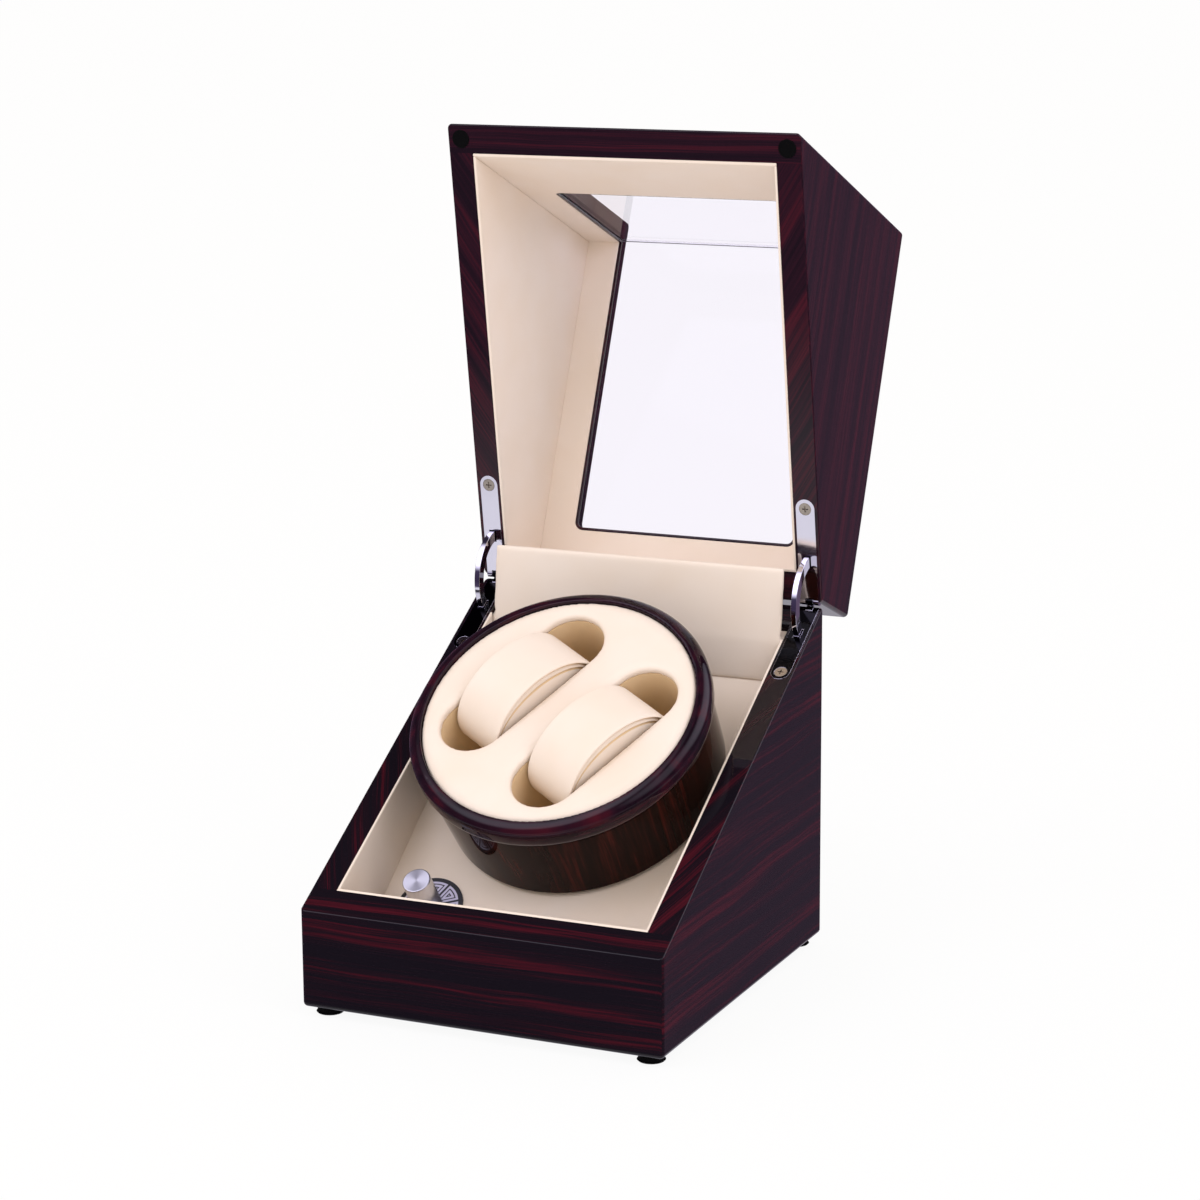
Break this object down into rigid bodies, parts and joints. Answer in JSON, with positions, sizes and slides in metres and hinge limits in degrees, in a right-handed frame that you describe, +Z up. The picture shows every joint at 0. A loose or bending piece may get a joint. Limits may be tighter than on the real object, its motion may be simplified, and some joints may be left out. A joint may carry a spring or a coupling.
{
  "type": "watch winder",
  "caption": "Wooden box split on a slope with a hinged windowed lid, holding a tilted motor-driven drum with watch cushions in slots, a speed knob and a cream lining.",
  "frame": {"origin": "on the surface the box stands on, under the middle of the open box's footprint", "axes": "+X to the box's right, +Y from its front to its back, +Z up; the box is mirror-symmetric across X apart from the turned slots, the knob and the power inlet"},
  "size_m": [0.16, 0.2706, 0.3512],
  "materials": {
    "lacquered_wood": "dark striped veneer under a high-gloss lacquer",
    "cream_leatherette": "fine-grained cream leatherette, satin",
    "clear_acrylic": "clear polished acrylic",
    "black_rubber": "matte",
    "chrome": "polished plating",
    "bright_screws": "polished cross-head screws",
    "turned_steel": "turned",
    "knob_aluminium": "circular-brushed",
    "dial_print": "satin, with printed marks",
    "panel_board": "black-stained board",
    "black_plastic": "moulded",
    "bush_brass": "turned",
    "motor_can": "drawn can",
    "circuit_green": "solder mask",
    "lead_red": "insulated wire"
  },
  "bodies": {
    "base": {"base_case": "lacquered_wood", "bottom_panel": "panel_board", "feet": "black_rubber", "foot_screws": "bright_screws", "bottom_screws": "bright_screws", "floor_panel": "cream_leatherette", "base_lining_front": "cream_leatherette", "base_lining_left": "cream_leatherette", "base_lining_right": "cream_leatherette", "rear_panel": "cream_leatherette", "dial_plate": "dial_print", "switch_body": "black_plastic", "spindle_bush": "bush_brass", "drive_belt": "black_rubber", "gear_motor": "motor_can", "motor_screws": "bright_screws", "circuit_board": "circuit_green", "board_posts": "black_plastic", "board_screws": "bright_screws", "board_chips": "black_plastic", "dc_jack": "black_plastic", "jack_nut": "black_plastic", "jack_lead": "lead_red", "motor_lead": "lead_red", "base_hinge_screws": "bright_screws", "hinge_base_plate_left": "chrome", "hinge_base_plate_right": "chrome", "hinge_pin_left": "chrome", "hinge_pin_right": "chrome"},
    "lid": {"lid_case": "lacquered_wood", "top_pane": "clear_acrylic", "front_pane": "clear_acrylic", "lid_lining_top": "cream_leatherette", "lid_lining_front": "cream_leatherette", "lid_lining_rear": "cream_leatherette", "lid_lining_left": "cream_leatherette", "lid_lining_right": "cream_leatherette", "lid_bumpers": "black_rubber", "hinge_lid_plate_left": "chrome", "hinge_lid_plate_right": "chrome", "lid_hinge_screws": "bright_screws"},
    "drum": {"drum_shell": "lacquered_wood", "drum_ring": "lacquered_wood", "insert_disc": "cream_leatherette", "pocket_left": "cream_leatherette", "pocket_right": "cream_leatherette", "spindle": "turned_steel", "spindle_clip": "turned_steel", "drum_pulley": "black_plastic"},
    "motor_drive": {"motor_pulley": "black_plastic", "motor_shaft": "turned_steel"},
    "left_cushion": {"cushion_left": "cream_leatherette"},
    "right_cushion": {"cushion_right": "cream_leatherette"},
    "speed_knob": {"knob": "knob_aluminium", "switch_shaft": "turned_steel"},
    "left_arm": {"quadrant_arm_left": "chrome"},
    "right_arm": {"quadrant_arm_right": "chrome"}
  },
  "joints": [
    {"name": "lid_hinge", "type": "hinge", "parent": "base", "child": "lid", "pos_m": [0, 0.03815, 0.151], "axis": [1, 0, 0], "range_deg": [0, 112.5]},
    {"name": "left_arm_swing", "type": "hinge", "parent": "base", "child": "left_arm", "pos_m": [0, 0.03815, 0.151], "axis": [1, 0, 0], "range_deg": [0, 28.12]},
    {"name": "right_arm_swing", "type": "hinge", "parent": "base", "child": "right_arm", "pos_m": [0, 0.03815, 0.151], "axis": [1, 0, 0], "range_deg": [0, 28.12]},
    {"name": "drum_spin", "type": "hinge", "parent": "base", "child": "drum", "pos_m": [0, -0.02946, 0.08069], "axis": [0, -0.6018, 0.7986], "continuous": true},
    {"name": "motor_spin", "type": "hinge", "parent": "base", "child": "motor_drive", "pos_m": [0, -0.06301, 0.05542], "axis": [0, -0.6018, 0.7986], "continuous": true},
    {"name": "knob_turn", "type": "hinge", "parent": "base", "child": "speed_knob", "pos_m": [-0.0455, -0.08792, 0.03664], "axis": [0, 0.6018, -0.7986], "range_deg": [0, 315]},
    {"name": "left_cushion_pull", "type": "slide", "parent": "drum", "child": "left_cushion", "axis": [0, -0.6018, 0.7986], "range_m": [0, 0.034]},
    {"name": "right_cushion_pull", "type": "slide", "parent": "drum", "child": "right_cushion", "axis": [0, -0.6018, 0.7986], "range_m": [0, 0.034]}
  ],
  "couplings": [
    {"joint": "left_arm_swing", "follows": "lid_hinge", "ratio": 0.25},
    {"joint": "right_arm_swing", "follows": "lid_hinge", "ratio": 0.25},
    {"joint": "motor_spin", "follows": "drum_spin", "ratio": 3.2695}
  ]
}
